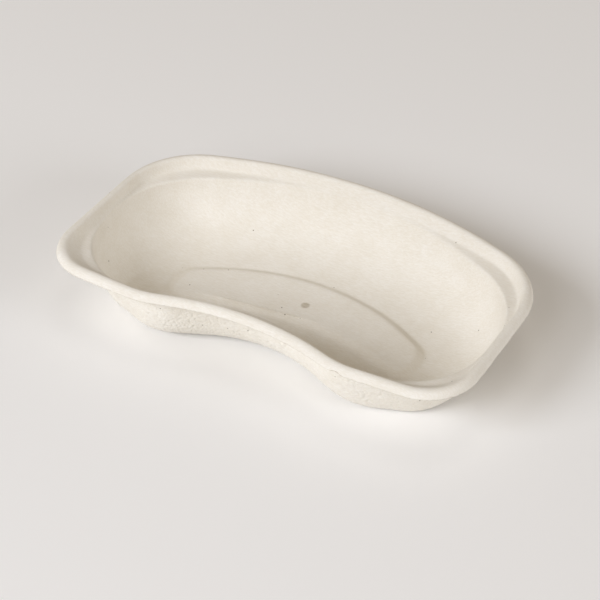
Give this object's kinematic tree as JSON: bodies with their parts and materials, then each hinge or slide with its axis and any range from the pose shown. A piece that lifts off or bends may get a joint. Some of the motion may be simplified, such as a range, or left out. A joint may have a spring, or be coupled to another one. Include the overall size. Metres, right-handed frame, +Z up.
{
  "type": "kidney dish",
  "caption": "Shallow kidney-shaped ward dish of pressed pulp, with a rolled lip, a stepped band under the rim and a raised panel in the floor.",
  "frame": {"origin": "middle of the dish's bounding box in plan, on the plane of its foot", "axes": "+X along the long way, +Y towards the full, convex long side, +Z up out of the bowl"},
  "size_m": [0.256, 0.152, 0.0396],
  "materials": {
    "pulp": "pressed plant-fibre pulp, natural off-white, matt, smooth inside and slightly felted outside"
  },
  "bodies": {
    "root": {"dish": "pulp"}
  },
  "joints": []
}
